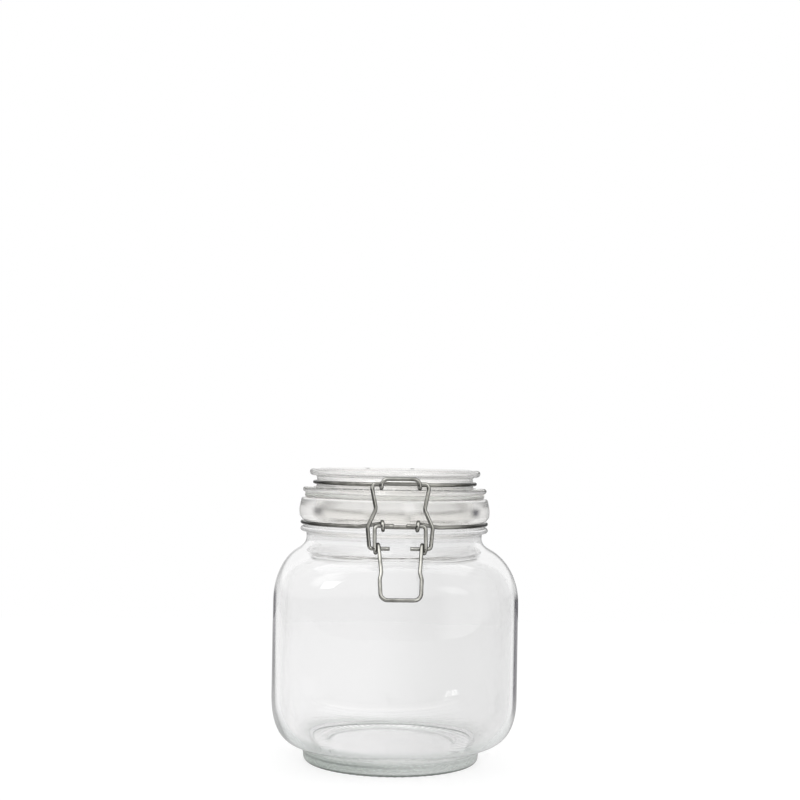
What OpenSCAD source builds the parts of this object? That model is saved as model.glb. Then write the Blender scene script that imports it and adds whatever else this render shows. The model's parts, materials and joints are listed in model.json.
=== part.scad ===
// Clip-top glass storage jar: a square-shouldered glass body, a pressed glass lid with its
// rubber seal, and a wire clamp of four bent pieces.
// The jar stands on z = 0 with its axis on Z. The clamp is at the front, -Y, the hinge at the back.

/* [Jar body] */
// Distance from the middle of the body to each of its four flat sides
body_half = 57.0; // [52:0.5:62]
// Radius of the four upright corners of the body
corner_r = 28.0; // [22:0.5:34]
// Height where the bottom rounding ends and the flat sides begin
side_bottom_z = 34.5; // [30:0.5:40]
// Height where the flat sides end and the shoulder begins
side_top_z = 78.0; // [70:0.5:84]
// Thickness of the glass in the body's sides
wall = 2.6; // [2:0.1:4]
// Thickness of the glass under the contents
floor_t = 6.0; // [4.5:0.1:8]

/* [Foot] */
// Outer radius of the round foot
foot_r = 42.2; // [38:0.1:46]
// Height of the round foot
foot_h = 7.2; // [5:0.1:9]
// Inner radius of the ring that the jar stands on
bearing_r = 33.0; // [28:0.5:36]
// Depth of the hollow under the base
punt_depth = 2.2; // [1:0.1:3]

/* [Neck and collar] */
// Outer radius of the plain neck
neck_r = 42.0; // [37:0.1:47]
// Thickness of the glass in the neck
neck_t = 3.6; // [3:0.1:4.4]
// Height where the neck leaves the shoulder
neck_z = 105.8; // [98:0.1:112]
// How far the bead that holds the neck hoop up stands out from the neck
bead_out = 2.9; // [2.4:0.1:3.6]
// How far the collar stands out from the neck
collar_out = 3.6; // [3.2:0.1:4]
// Height of the rim, where the seal sits, above the foot of the neck
neck_h = 19.6; // [19.4:0.1:20.4]

/* [Lid and seal] */
// Thickness of the rubber seal
seal_t = 2.3; // [1.6:0.1:2.6]
// How far the lid's lower flange, which presses on the seal, stands out from the neck
lid_flange_out = 2.0; // [1.2:0.1:2.3]
// How far the edge of the seal lies inside the edge of that flange
seal_in = 1.0; // [0.2:0.1:2.5]
// Thickness of the lid's lower flange
lid_flange_t = 2.6; // [2:0.1:2.8]
// How deep the lid's waist, where the lid hoop lies, is cut in from the flange
lid_waist_in = 6.6; // [6:0.1:8]
// How far the edge of the lid's top disc lies inside the edge of the flange
lid_top_in = 3.1; // [2.8:0.1:4.5]
// Thickness of the lid's top disc
lid_top_t = 3.4; // [2.5:0.1:4]
// Height of the top of the lid above the rim
lid_rise = 13.6; // [13.2:0.1:14.4]
// Gap round the plug that keeps the lid in the middle of the mouth
plug_gap = 2.0; // [1.6:0.1:3.4]

/* [Wire clamp] */
// Diameter of the wire
wire_d = 1.8; // [1.4:0.1:2]
// Play between a wire end and the eye that it turns in, on the radius
eye_play = 0.08; // [0.04:0.01:0.1]
// Height of the lever's pivot and of the lid's hinge above the neck hoop
pivot_rise = 0.9; // [0.4:0.1:1.4]
// Distance of both from the outside of the neck
pivot_out = 6.3; // [6.2:0.1:7]
// Half the distance between the two eyes of the neck hoop
eye_half = 7.8; // [7:0.1:8.2]
// Half the width of the lever at its pivot
lever_half = 11.4; // [11.2:0.1:11.5]
// How far the lever's coils lie below its pivot
coil_drop = 10.1; // [9.8:0.1:10.4]
// How far the lever's coils lie in front of its pivot
coil_out = 1.2; // [0.8:0.1:1.6]
// Half the width of the lever's finger loop
loop_half = 9.0; // [8:0.1:9.4]
// Length of the lever from its pivot down to the end of the finger loop
lever_len = 31.7; // [29:0.1:34]
// How far the finger loop's end stands in front of the body's side
loop_gap = 5.2; // [4:0.1:7]
// Half the width of the bail across its widest bend
bail_wide = 14.6; // [14.2:0.1:15.4]
// Half the width of the bail at its waist
bail_waist = 10.9; // [10.6:0.1:11.6]
// Half the width of the bail at its ends
bail_foot = 13.7; // [13.6:0.1:14]
// Half the width of the bail's top bar
bail_top = 12.4; // [11.8:0.1:12.8]
// Half the width of the catch on the lid hoop
catch_half = 8.6; // [8:0.1:9]

/* [Hidden] */

wire_r = wire_d / 2;
// Bent wire is a little thicker than straight wire, and each straight length laps into the bend
swell = 0.03;
bent_d = wire_d + 2 * swell;
lap = 0.1;
bend_r = 1.6;
eye_r = wire_d + swell + eye_play;
seat_tilt = 25;

// Radii that follow the neck
mouth_r = neck_r - neck_t;
bead_r = neck_r + bead_out;
collar_r = neck_r + collar_out;
lid_flange_r = neck_r + lid_flange_out;
seal_r = lid_flange_r - seal_in;
lid_waist_r = lid_flange_r - lid_waist_in;
lid_top_r = lid_flange_r - lid_top_in;
plug_r = mouth_r - plug_gap;
pivot_y = neck_r + pivot_out;

// Body, and the hollow inside it
floor_z = punt_depth + floor_t;
inner_half = body_half - wall;
shoulder_w = body_half - neck_r;
shoulder_h = neck_z - side_top_z;
heel_w = body_half - foot_r;
heel_h = side_bottom_z - foot_h;
hollow_shoulder_w = inner_half - mouth_r;
hollow_heel_w = inner_half - bearing_r;
hollow_heel_h = side_bottom_z - floor_z;

// Neck finish, from the shoulder up
bead_bottom_z = neck_z + 3.2;
groove_z = neck_z + 7.6;
groove_r = collar_r - 2.55;
collar_bottom_z = groove_z + wire_r + 0.1;
rim_z = neck_z + neck_h;
neck_fillet = 1.2;
bead_round = 1.3;
collar_round = 12;
lip_r = 1.4;
hoop_r = groove_r + wire_r + 0.05;
hoop_leave = 24;
pivot_z = groove_z + pivot_rise;

// Lid, from the rim up
plug_drop = 2.1;
flange_z = rim_z + seal_t;
waist_z = flange_z + lid_flange_t;
lid_top_z = rim_z + lid_rise;
disc_z = lid_top_z - lid_top_t;
lid_hoop_r = lid_waist_r + wire_r + 0.12;
lid_hoop_z = (waist_z + disc_z) / 2 - 0.5;
lid_hoop_run = 2.2;
lid_roof_t = 4.6;
lid_hollow_r = plug_r - 4.9;

// Bail, catch and lever, seen from the side
coil_y = -pivot_y - coil_out;
coil_z = pivot_z - coil_drop;
coil_half = lever_half - wire_d + lap;
bar_y = -(lid_flange_r + wire_r + 1.3);
bar_z = waist_z + 2.8;
catch_y = bar_y - wire_d - 0.95;
catch_leg_z = bar_z - wire_d - 0.2;
catch_top_z = bar_z + 2.15;
loop_end_y = -body_half - loop_gap;
loop_end_z = pivot_z - lever_len;

// Corners of the bent wires, from the nearest end of each wire's height
bail_stub = 4.6;
bail_wide_up = 9.4;
bail_waist_down = 11.4;
bail_top_down = 2.6;
kink_out = 3.4;
kink_up = 9.4;

// Bend radii from the end of each wire to its middle
bail_bends = [1.3, 3, 3, 2.5, 1.6];
catch_bends = [3, 1.3, 1.5];
loop_bends = [6, 3];

facets = 64;
shoulder_steps = 9;
heel_steps = 8;

function bezier(a, b, c, d, t) =
    pow(1 - t, 3) * a + 3 * t * pow(1 - t, 2) * b + 3 * t * t * (1 - t) * c + pow(t, 3) * d;
function curve(a, b, c, d, n, skip = 0) =
    [for (i = [skip : n]) bezier(a, b, c, d, i / n)];
function arc(c, r, from, to, n = 6) =
    [for (i = [0 : n]) c + r * [cos(from + (to - from) * i / n), sin(from + (to - from) * i / n)]];
function unit(v) = v / norm(v);
function flip(p) = [-p[0], p[1], p[2]];
function reversed(v) = [for (i = [len(v) - 1 : -1 : 0]) v[i]];
function both_sides(left) = concat(left, reversed([for (p = left) flip(p)]));
// Where a wire from point p touches the coil round c, on the side that turn says
function touch(p, c, turn) =
    let (d = p - c, a = atan2(d[2], d[1]) + turn * acos(eye_r / norm([d[1], d[2]])))
    [c[0], c[1] + eye_r * cos(a), c[2] + eye_r * sin(a)];

// Half-width and height of the body's outside, from the heel up to the neck
shoulder_end = [neck_r + 0.27 * shoulder_w, neck_z - 0.16 * shoulder_h];
body_outline = concat(
    curve([foot_r + 0.6, foot_h + 0.6], [body_half - 0.34 * heel_w, foot_h + 0.16 * heel_h],
        [body_half, foot_h + 0.43 * heel_h], [body_half, side_bottom_z], heel_steps),
    curve([body_half, side_top_z], [body_half, side_top_z + 0.5 * shoulder_h],
        [body_half - 0.4 * shoulder_w, side_top_z + 0.75 * shoulder_h], shoulder_end,
        shoulder_steps),
    curve(shoulder_end, [neck_r + 0.12 * shoulder_w, neck_z - 0.12 * shoulder_h],
        [neck_r + 0.4, neck_z - 1.4], [neck_r - 0.8, neck_z + 1.2], 4, 1));

// The same for the hollow inside the glass
hollow_end = [mouth_r + 0.3 * hollow_shoulder_w, neck_z - 0.26 * shoulder_h];
hollow_outline = concat(
    curve([bearing_r, floor_z], [bearing_r + 0.65 * hollow_heel_w, floor_z + 0.04 * hollow_heel_h],
        [inner_half, floor_z + 0.41 * hollow_heel_h], [inner_half, side_bottom_z], heel_steps),
    curve([inner_half, side_top_z - 1], [inner_half, side_top_z + 0.42 * shoulder_h],
        [inner_half - 0.3 * hollow_shoulder_w, side_top_z + 0.63 * shoulder_h], hollow_end,
        shoulder_steps),
    curve(hollow_end, [mouth_r + 0.13 * hollow_shoulder_w, neck_z - 0.21 * shoulder_h],
        [mouth_r + 0.2, neck_z - 3.4], [mouth_r - 0.8, neck_z + 0.6], 4, 1));

// A ring of points at one height: a circle at the neck that squares up as it widens
function section(half, z, round_r, full_half, full_corner) =
    let (share = max(0, (half - round_r) / (full_half - round_r)),
        flat = share * (full_half - full_corner),
        r = half - flat,
        step = 360 / facets)
    [for (q = [0 : 3]) for (i = [0 : facets / 4 - 1])
        let (a = q * 90 + (i + 0.5) * step,
            sx = (q == 0 || q == 3) ? 1 : -1,
            sy = q < 2 ? 1 : -1)
        [sx * flat + r * cos(a), sy * flat + r * sin(a), z]];

module loft(outline, round_r, full_half, full_corner) {
    rings = [for (p = outline) section(p[0], p[1], round_r, full_half, full_corner)];
    points = [for (r = rings) for (p = r) p];
    last = (len(rings) - 1) * facets;
    sides = [for (k = [0 : len(rings) - 2]) for (i = [0 : facets - 1])
        let (a = k * facets + i, b = k * facets + (i + 1) % facets)
        each [[a, b + facets, b], [a, a + facets, b + facets]]];
    polyhedron(points, concat(
        [[for (i = [0 : facets - 1]) i]],
        sides,
        [[for (i = [facets - 1 : -1 : 0]) last + i]]));
}

// Straight length of wire between two points
module rod(a, b) {
    z = unit(b - a);
    x = unit(abs(z[0]) < 0.9 ? cross(z, [1, 0, 0]) : cross(z, [0, 1, 0]));
    y = cross(z, x);
    multmatrix([[x[0], y[0], z[0], a[0]], [x[1], y[1], z[1], a[1]], [x[2], y[2], z[2], a[2]]])
        cylinder(h = norm(b - a), d = wire_d, $fn = 24);
}

// Round bend at corner p, from direction u to direction v
module elbow(p, u, v, r) {
    turn = acos(u * v);
    c = p + unit(v - u) * r / cos(turn / 2);
    x = unit(p - u * r * tan(turn / 2) - c);
    z = cross(x, u);
    multmatrix([[x[0], u[0], z[0], c[0]], [x[1], u[1], z[1], c[1]], [x[2], u[2], z[2], c[2]]])
        rotate_extrude(angle = turn, $fn = 48)
            translate([r, 0]) circle(d = bent_d, $fn = 24);
}

// Length that a bend takes off each straight at corner i of a route, less what laps into the bend
function setback(route, radii, i) =
    (i == 0 || i == len(route) - 1) ? 0 :
    radii[i - 1] * tan(acos(unit(route[i] - route[i - 1]) * unit(route[i + 1] - route[i])) / 2) - lap;

// Wire bent along a route of corner points, with a bend radius for each corner between its ends
module bent_wire(route, radii) {
    for (i = [0 : len(route) - 2]) {
        along = unit(route[i + 1] - route[i]);
        rod(route[i] + along * setback(route, radii, i),
            route[i + 1] - along * setback(route, radii, i + 1));
    }
    for (i = [1 : len(route) - 2])
        elbow(route[i], unit(route[i] - route[i - 1]), unit(route[i + 1] - route[i]), radii[i - 1]);
}

// Ring of wire round an axis along X
module eye(c) {
    translate(c) rotate([0, 90, 0])
        rotate_extrude($fn = 48) translate([eye_r, 0]) circle(d = bent_d, $fn = 24);
}

module glass() { color([0.86, 0.91, 0.89, 0.45]) children(); }
module steel() { color([0.72, 0.72, 0.70]) children(); }

module jar() {
    neck_outline = concat(
        [[mouth_r - 3, neck_z - 2.5], [neck_r, neck_z - 2.5]],
        arc([neck_r + neck_fillet, bead_bottom_z - 1.1], neck_fillet, 180, 90, 4),
        arc([bead_r - bead_round, bead_bottom_z + 1.4], bead_round, -70, 60, 6),
        [[groove_r, groove_z - wire_r - 0.2], [groove_r, collar_bottom_z - 0.1]],
        arc([collar_r - 2.4, collar_bottom_z + 1.5], 1.4, -90, -20, 4),
        arc([collar_r - collar_round, (collar_bottom_z + rim_z) / 2 - 0.9], collar_round,
            -12, 16, 6),
        arc([collar_r - 2.2, rim_z - lip_r], lip_r, 10, 90, 5),
        [[mouth_r + 0.8, rim_z], [mouth_r, rim_z - 0.8], [mouth_r - 3, rim_z - 0.8]]);
    foot_outline = concat(
        [[0, punt_depth + 1], [0, foot_h + 1.2], [foot_r - 1, foot_h + 1.2]],
        arc([foot_r - 1.6, foot_h - 1.5], 1.6, 60, 0, 4),
        arc([foot_r - 2.6, 2.2], 2.2, -10, -90, 5),
        [[bearing_r + 1.2, 0], [bearing_r, 0.9], [bearing_r - 4, punt_depth]]);
    glass() difference() {
        union() {
            loft(body_outline, neck_r, body_half, corner_r);
            rotate_extrude($fn = 96) polygon(neck_outline);
            rotate_extrude($fn = 96) polygon(foot_outline);
        }
        loft(hollow_outline, mouth_r, inner_half, corner_r - wall);
        translate([0, 0, neck_z - 4]) cylinder(h = neck_h + 5, r = mouth_r, $fn = 96);
    }
}

module seal() {
    color([0.93, 0.93, 0.90]) translate([0, 0, rim_z]) difference() {
        cylinder(h = seal_t, r = seal_r, $fn = 96);
        translate([0, 0, -1]) cylinder(h = seal_t + 2, r = plug_r + 0.2, $fn = 96);
    }
}

module lid() {
    rim_round = lid_flange_t / 2;
    disc_round = lid_top_t / 2;
    outline = concat(
        [[0, flange_z], [0, lid_top_z]],
        arc([lid_top_r - disc_round, lid_top_z - disc_round], disc_round, 90, -90, 10),
        arc([lid_waist_r + 1.0, disc_z - 1.0], 1.0, 90, 180, 4),
        arc([lid_waist_r + 1.0, waist_z + 1.0], 1.0, 180, 270, 4),
        arc([lid_flange_r - rim_round, flange_z + rim_round], rim_round, 90, -90, 8),
        [[plug_r, flange_z], [plug_r - 0.8, rim_z - plug_drop], [0, rim_z - plug_drop]]);
    glass() difference() {
        rotate_extrude($fn = 96) polygon(outline);
        translate([0, 0, rim_z - plug_drop - 1])
            cylinder(h = lid_top_z - lid_roof_t - rim_z + plug_drop + 1, r1 = lid_hollow_r,
                r2 = lid_hollow_r - 1.5, $fn = 96);
    }
}

// Angle from the clamp's plane at which the lid hoop's arc ends, for a leg at this half-width
function arc_end(half) =
    asin(half / norm([lid_hoop_r, lid_hoop_run])) + atan(lid_hoop_run / lid_hoop_r);
// Corner where the line of that arc meets the leg; s and side are the signs of its X and its Y
function arc_corner(half, s, side) =
    let (a = arc_end(half))
    [s * half, side * (lid_hoop_r * cos(a) + lid_hoop_run * sin(a)), lid_hoop_z];
// Point on a leg from that corner towards p where the bend has ended
function leg_start(corner, p) = corner + lid_hoop_run * unit(p - corner);

// Bend from the lid hoop's arc into the leg that goes to p
module arc_elbow(half, s, side, p) {
    a = arc_end(half);
    corner = arc_corner(half, s, side);
    along = [-s * cos(a), side * sin(a), 0];
    to = unit(p - corner);
    elbow(corner, along, to, (lid_hoop_run + lap) / tan(acos(along * to) / 2));
}

module lid_hoop() {
    catch_corner = arc_corner(catch_half, -1, -1);
    catch_leg = [-catch_half, bar_y + 1, catch_leg_z];
    catch_left = [leg_start(catch_corner, catch_leg), catch_leg,
        [-catch_half, catch_y, catch_leg_z], [-catch_half, catch_y, catch_top_z]];
    steel() {
        bent_wire(both_sides(catch_left), concat(catch_bends, reversed(catch_bends)));
        for (s = [-1, 1]) {
            hinge_corner = arc_corner(lever_half, s, 1);
            hinge_leg = [s * lever_half, pivot_y, lid_hoop_z - 0.3];
            arc_elbow(catch_half, s, -1, [s * catch_half, catch_leg[1], catch_leg_z]);
            arc_elbow(lever_half, s, 1, hinge_leg);
            bent_wire([leg_start(hinge_corner, hinge_leg), hinge_leg,
                [s * lever_half, pivot_y, pivot_z], [s * (eye_half - 4), pivot_y, pivot_z]],
                [bend_r, bend_r]);
            translate([0, 0, lid_hoop_z])
                rotate([0, 0, s > 0 ? arc_end(catch_half) - 90 : 90 + arc_end(lever_half)])
                rotate_extrude(angle = 180 - arc_end(catch_half) - arc_end(lever_half), $fn = 96)
                    translate([lid_hoop_r, 0]) circle(d = wire_d, $fn = 24);
        }
    }
}

// Wire that leaves the neck hoop's arc for an eye; s and side are the signs of its X and its Y
module hoop_tail(s, side) {
    run = 0.6;
    along = [-s * cos(hoop_leave), side * sin(hoop_leave), 0];
    corner = [s * hoop_r * sin(hoop_leave), side * hoop_r * cos(hoop_leave), groove_z] + run * along;
    end = [s * eye_half, side * (pivot_y - eye_r * cos(seat_tilt)), pivot_z + eye_r * sin(seat_tilt)];
    to_eye = unit(end - corner);
    elbow(corner, along, to_eye, (run + lap) / tan(acos(along * to_eye) / 2));
    rod(corner + run * to_eye, end);
}

module neck_hoop() {
    steel() for (side = [-1, 1]) {
        seat = [0, side * (pivot_y - eye_r * cos(seat_tilt)), pivot_z - eye_r * sin(seat_tilt)];
        rotate([0, 0, hoop_leave - 90 * side]) translate([0, 0, groove_z])
            rotate_extrude(angle = 180 - 2 * hoop_leave, $fn = 96)
                translate([hoop_r, 0]) circle(d = wire_d, $fn = 24);
        for (s = [-1, 1]) {
            eye([s * eye_half, side * pivot_y, pivot_z]);
            hoop_tail(s, side);
        }
        rod(seat - [eye_half, 0, 0], seat + [eye_half, 0, 0]);
    }
}

module bail() {
    lean = (bar_y - coil_y) / (bar_z - coil_z);
    function at(x, z) = [x, coil_y + lean * (z - coil_z), z];
    left = [at(-bail_stub, coil_z), at(-bail_foot, coil_z), at(-bail_wide, coil_z + bail_wide_up),
        at(-bail_waist, bar_z - bail_waist_down), at(-bail_top - 0.3, bar_z - bail_top_down),
        at(-bail_top, bar_z)];
    steel() bent_wire(both_sides(left), concat(bail_bends, reversed(bail_bends)));
}

module lever() {
    kink = [-loop_half, loop_end_y + kink_out, loop_end_z + kink_up];
    loop_left = [touch(kink, [-coil_half, coil_y, coil_z], -1), kink,
        [-loop_half + 0.2, loop_end_y, loop_end_z]];
    steel() {
        for (s = [-1, 1]) {
            shoulder = [s * lever_half, -pivot_y, pivot_z];
            outer_coil = [s * lever_half, coil_y, coil_z];
            eye(outer_coil);
            eye([s * coil_half, coil_y, coil_z]);
            bent_wire([[s * (eye_half - 5), -pivot_y, pivot_z], shoulder,
                touch(shoulder, outer_coil, 1)], [bend_r]);
        }
        bent_wire(both_sides(loop_left), concat(loop_bends, reversed(loop_bends)));
    }
}

jar();
seal();
lid();
lid_hoop();
neck_hoop();
bail();
lever();
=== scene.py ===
"""Clip-top glass jar: a blown glass body, a pressed lid on its seal, and a clamp of bent wire."""

from __future__ import annotations

import json
import logging
import math
from dataclasses import dataclass
from enum import Enum
from typing import Any, Iterable, Mapping, Sequence, Union

import bpy
from mathutils import Matrix, Vector, noise


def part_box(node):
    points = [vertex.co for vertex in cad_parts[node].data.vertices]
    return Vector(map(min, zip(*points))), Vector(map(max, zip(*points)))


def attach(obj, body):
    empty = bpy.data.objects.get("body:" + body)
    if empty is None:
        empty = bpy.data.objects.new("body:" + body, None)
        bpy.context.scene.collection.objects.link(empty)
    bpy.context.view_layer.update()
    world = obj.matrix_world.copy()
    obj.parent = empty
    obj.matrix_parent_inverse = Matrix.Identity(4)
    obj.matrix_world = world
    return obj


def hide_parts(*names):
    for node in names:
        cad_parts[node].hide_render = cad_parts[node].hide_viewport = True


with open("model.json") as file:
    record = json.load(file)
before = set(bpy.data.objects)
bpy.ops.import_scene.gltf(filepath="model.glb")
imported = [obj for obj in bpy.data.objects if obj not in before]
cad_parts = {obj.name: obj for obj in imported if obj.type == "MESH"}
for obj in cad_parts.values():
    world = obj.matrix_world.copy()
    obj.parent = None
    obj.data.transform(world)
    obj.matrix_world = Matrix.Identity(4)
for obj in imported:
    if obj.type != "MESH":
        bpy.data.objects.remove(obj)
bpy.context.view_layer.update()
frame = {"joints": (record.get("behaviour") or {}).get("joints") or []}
LOG = logging.getLogger("clip_top_jar")
MM = 0.001
# How far the wires stay inside the CAD box, in millimetres.
INSET = 0.03
# Ray depths between which a ray comes to count as one that went through glass.
MANY_BOUNCES = (4.4, 4.6)
OUTER_SKIN = "outer_skin"

Pair = tuple[float, float]
Span = tuple[float, float, float, float]
Triple = tuple[float, float, float]
Colour = Triple


class Body(Enum):
    """Names of the CAD bodies that pieces ride on."""

    JAR = "jar_and_hoop"
    LID = "lid_and_seal"
    LEVER = "lever"
    BAIL = "bail"


class Slot(Enum):
    """Names of the record's material slots."""

    JAR = "jar_glass"
    LID = "lid_glass"
    SEAL = "seal_rubber"
    WIRE = "clamp_wire"


class Operation(Enum):
    """Arithmetic on sockets: the name it has in Math, Vector Math and Mix nodes."""

    ADD = "ADD"
    SUBTRACT = "SUBTRACT"
    MULTIPLY = "MULTIPLY"
    POWER = "POWER"
    MAXIMUM = "MAXIMUM"
    MINIMUM = "MINIMUM"


# ---------------------------------------------------------------------------------------------
# Node expressions


Operand = Union["Signal", float, Sequence[float]]
Tint = Union["Signal", Colour]


class Signal:
    """A node's output socket, on which Python's operators build further nodes."""

    def __init__(self, tree: "NodeTree", socket: bpy.types.NodeSocket) -> None:
        """Wraps one output socket of a tree."""
        self.tree = tree
        self.socket = socket

    def _combine(self, operation: Operation, first: Operand, second: Operand) -> "Signal":
        """Adds the node that combines two operands.

        Args:
            operation: What to work out.
            first: Left operand.
            second: Right operand.

        Returns:
            The result's socket.
        """
        kinds = {o.socket.type for o in (first, second) if isinstance(o, Signal)}
        if "RGBA" in kinds:
            settings = {"data_type": "RGBA", "blend_type": operation.value}
            node = self.tree.add("ShaderNodeMix", settings, {0: 1.0, 6: first, 7: second})
            return Signal(self.tree, node.outputs[2])
        kind = "ShaderNodeVectorMath" if "VECTOR" in kinds else "ShaderNodeMath"
        node = self.tree.add(kind, {"operation": operation.value}, {0: first, 1: second})
        return Signal(self.tree, node.outputs[0])

    def __add__(self, other: Operand) -> "Signal":
        """Sum."""
        return self._combine(Operation.ADD, self, other)

    def __radd__(self, other: Operand) -> "Signal":
        """Sum with a number on the left."""
        return self._combine(Operation.ADD, other, self)

    def __sub__(self, other: Operand) -> "Signal":
        """Difference."""
        return self._combine(Operation.SUBTRACT, self, other)

    def __rsub__(self, other: Operand) -> "Signal":
        """Difference with a number on the left."""
        return self._combine(Operation.SUBTRACT, other, self)

    def __mul__(self, other: Operand) -> "Signal":
        """Product."""
        return self._combine(Operation.MULTIPLY, self, other)

    def __rmul__(self, other: Operand) -> "Signal":
        """Product with a number on the left."""
        return self._combine(Operation.MULTIPLY, other, self)

    def __pow__(self, other: Operand) -> "Signal":
        """Power."""
        return self._combine(Operation.POWER, self, other)

    def without_sign(self) -> "Signal":
        """Its size, whichever its sign."""
        return (self**2.0) ** 0.5

    def at_least(self, other: Operand) -> "Signal":
        """The larger of this and another value."""
        return self._combine(Operation.MAXIMUM, self, other)

    def at_most(self, other: Operand) -> "Signal":
        """The smaller of this and another value."""
        return self._combine(Operation.MINIMUM, self, other)

    def ramp(
        self, low: float, high: float, to_low: float = 0.0, to_high: float = 1.0
    ) -> "Signal":
        """Smooth step from one range of values to another.

        Args:
            low: Value at which the step begins.
            high: Value at which the step ends.
            to_low: Result at low and below.
            to_high: Result at high and above.

        Returns:
            The stepped value.
        """
        node = self.tree.add(
            "ShaderNodeMapRange",
            {"interpolation_type": "SMOOTHSTEP"},
            {"Value": self, "From Min": low, "From Max": high, "To Min": to_low, "To Max": to_high},
        )
        return Signal(self.tree, node.outputs[0])

    def fade(self, low: float, high: float) -> "Signal":
        """Smooth step from 1 at low down to 0 at high."""
        return self.ramp(low, high, 1.0, 0.0)

    def band(self, low: float, full: float, still: float, high: float) -> "Signal":
        """Soft band: it rises from low to full and fades from still to high."""
        return self.ramp(low, full) * self.fade(still, high)

    def tint(self, low: "Tint", high: "Tint") -> "Signal":
        """Colour between two tints: the first at 0, the second at 1.

        Args:
            low: The first tint.
            high: The second tint.

        Returns:
            The colour.
        """
        low, high = (t if isinstance(t, Signal) else (*t, 1.0) for t in (low, high))
        node = self.tree.add("ShaderNodeMix", {"data_type": "RGBA"}, {0: self, 6: low, 7: high})
        return Signal(self.tree, node.outputs[2])

    def axis(self, index: int) -> "Signal":
        """One component of a vector."""
        node = self.tree.add("ShaderNodeSeparateXYZ", {}, {0: self})
        return Signal(self.tree, node.outputs[index])


class NodeTree:
    """The nodes of a material or of the world."""

    def __init__(self, owner: Union[bpy.types.Material, bpy.types.World]) -> None:
        """Empties the owner's node tree."""
        owner.use_nodes = True
        self.tree = owner.node_tree
        self.tree.nodes.clear()

    def add(
        self, kind: str, settings: Mapping[str, Any], inputs: Mapping[Union[int, str], Any]
    ) -> bpy.types.Node:
        """Adds one node.

        Args:
            kind: The node's type.
            settings: Properties of the node, set before its sockets.
            inputs: Value or link of each socket, by its name or number.

        Returns:
            The new node.
        """
        node = self.tree.nodes.new(kind)
        for name, value in settings.items():
            setattr(node, name, value)
        for key, value in inputs.items():
            if isinstance(value, Signal):
                self.tree.links.new(value.socket, node.inputs[key])
            elif isinstance(value, bpy.types.NodeSocket):
                self.tree.links.new(value, node.inputs[key])
            else:
                node.inputs[key].default_value = value
        return node

    def output_of(
        self,
        kind: str,
        output: Union[int, str] = 0,
        settings: Mapping[str, Any] | None = None,
        **inputs: Any,
    ) -> Signal:
        """Adds a node and wraps one of its outputs.

        Args:
            kind: The node's type.
            output: Name or number of the output.
            settings: Properties of the node.
            **inputs: Values or links of its sockets, with _ for a space in their names.

        Returns:
            The output's socket.
        """
        named = {key.replace("_", " "): value for key, value in inputs.items()}
        return Signal(self, self.add(kind, settings or {}, named).outputs[output])

    def noise(self, vector: Signal, scale: float, detail: float = 2.0) -> Signal:
        """Noise between 0 and 1 over a vector."""
        return self.output_of("ShaderNodeTexNoise", 0, Vector=vector, Scale=scale, Detail=detail)

    def place(self) -> Signal:
        """Position on the object, in metres, at rest."""
        return self.output_of("ShaderNodeTexCoord", "Object")

    def facing(self) -> Signal:
        """0 where the surface faces the eye and 1 where it is seen on edge."""
        return self.output_of("ShaderNodeLayerWeight", "Facing", Blend=0.5)

    def ray(self, kind: str) -> Signal:
        """Whether the ray is of one kind, such as Is Shadow Ray, or how deep it is."""
        return self.output_of("ShaderNodeLightPath", kind)

    def sent(self) -> Signal:
        """Whether the ray went through glass, as one that bounced often is taken to have done."""
        return self.ray("Is Transmission Ray").at_least(self.ray("Ray Depth").ramp(*MANY_BOUNCES))

    def bump(self, height: Signal, strength: float, distance: float) -> Signal:
        """Normal for a surface that rises by a height, in metres at full strength."""
        inputs = {"Strength": strength, "Distance": distance, "Height": height}
        return Signal(self, self.add("ShaderNodeBump", {}, inputs).outputs[0])

    def mix(self, factor: Signal, first: Signal, second: Signal) -> Signal:
        """Mix of two shaders."""
        node = self.add("ShaderNodeMixShader", {}, {0: factor, 1: first, 2: second})
        return Signal(self, node.outputs[0])

    def principled(self, inputs: Mapping[str, Any]) -> Signal:
        """Principled shader with values or links for its sockets."""
        return Signal(self, self.add("ShaderNodeBsdfPrincipled", {}, inputs).outputs[0])

    def show(self, shader: Signal, output: str = "ShaderNodeOutputMaterial") -> None:
        """Makes a shader the surface of the material, or of the world by its own output."""
        self.add(output, {}, {"Surface": shader})


def new_material(name: str) -> tuple[bpy.types.Material, NodeTree]:
    """Makes a material with an empty tree."""
    made = bpy.data.materials.new(name)
    return made, NodeTree(made)


# ---------------------------------------------------------------------------------------------
# Finishes


@dataclass(frozen=True)
class GlassPoint:
    """Where a point of the glass lies, in metres at rest, and how it meets the eye."""

    place: Signal
    side: Signal
    height: Signal
    radius: Signal
    corner: Signal
    facing: Signal
    upright: Signal
    skin: Signal

    @classmethod
    def on(cls, tree: NodeTree, wall_slope: Pair) -> "GlassPoint":
        """Adds the nodes that a point's signals come from.

        Args:
            tree: The material's nodes.
            wall_slope: Upward parts of the normal where a wall begins to turn level and is level.

        Returns:
            The point: its place, its x and z, its distance from the axis and from the nearer middle
            plane, 1 where it is on edge, 1 where it is on a wall, and 1 on the outer skin.
        """
        place = tree.place()
        side, front, height = (place.axis(i) for i in range(3))
        slope = tree.output_of("ShaderNodeNewGeometry", "Normal").axis(2).without_sign()
        return cls(
            place=place,
            side=side,
            height=height,
            radius=(side**2.0 + front**2.0) ** 0.5,
            corner=side.without_sign().at_most(front.without_sign()),
            facing=tree.facing(),
            upright=slope.fade(*wall_slope),
            skin=tree.output_of("ShaderNodeAttribute", "Fac", {"attribute_name": OUTER_SKIN}),
        )


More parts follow.
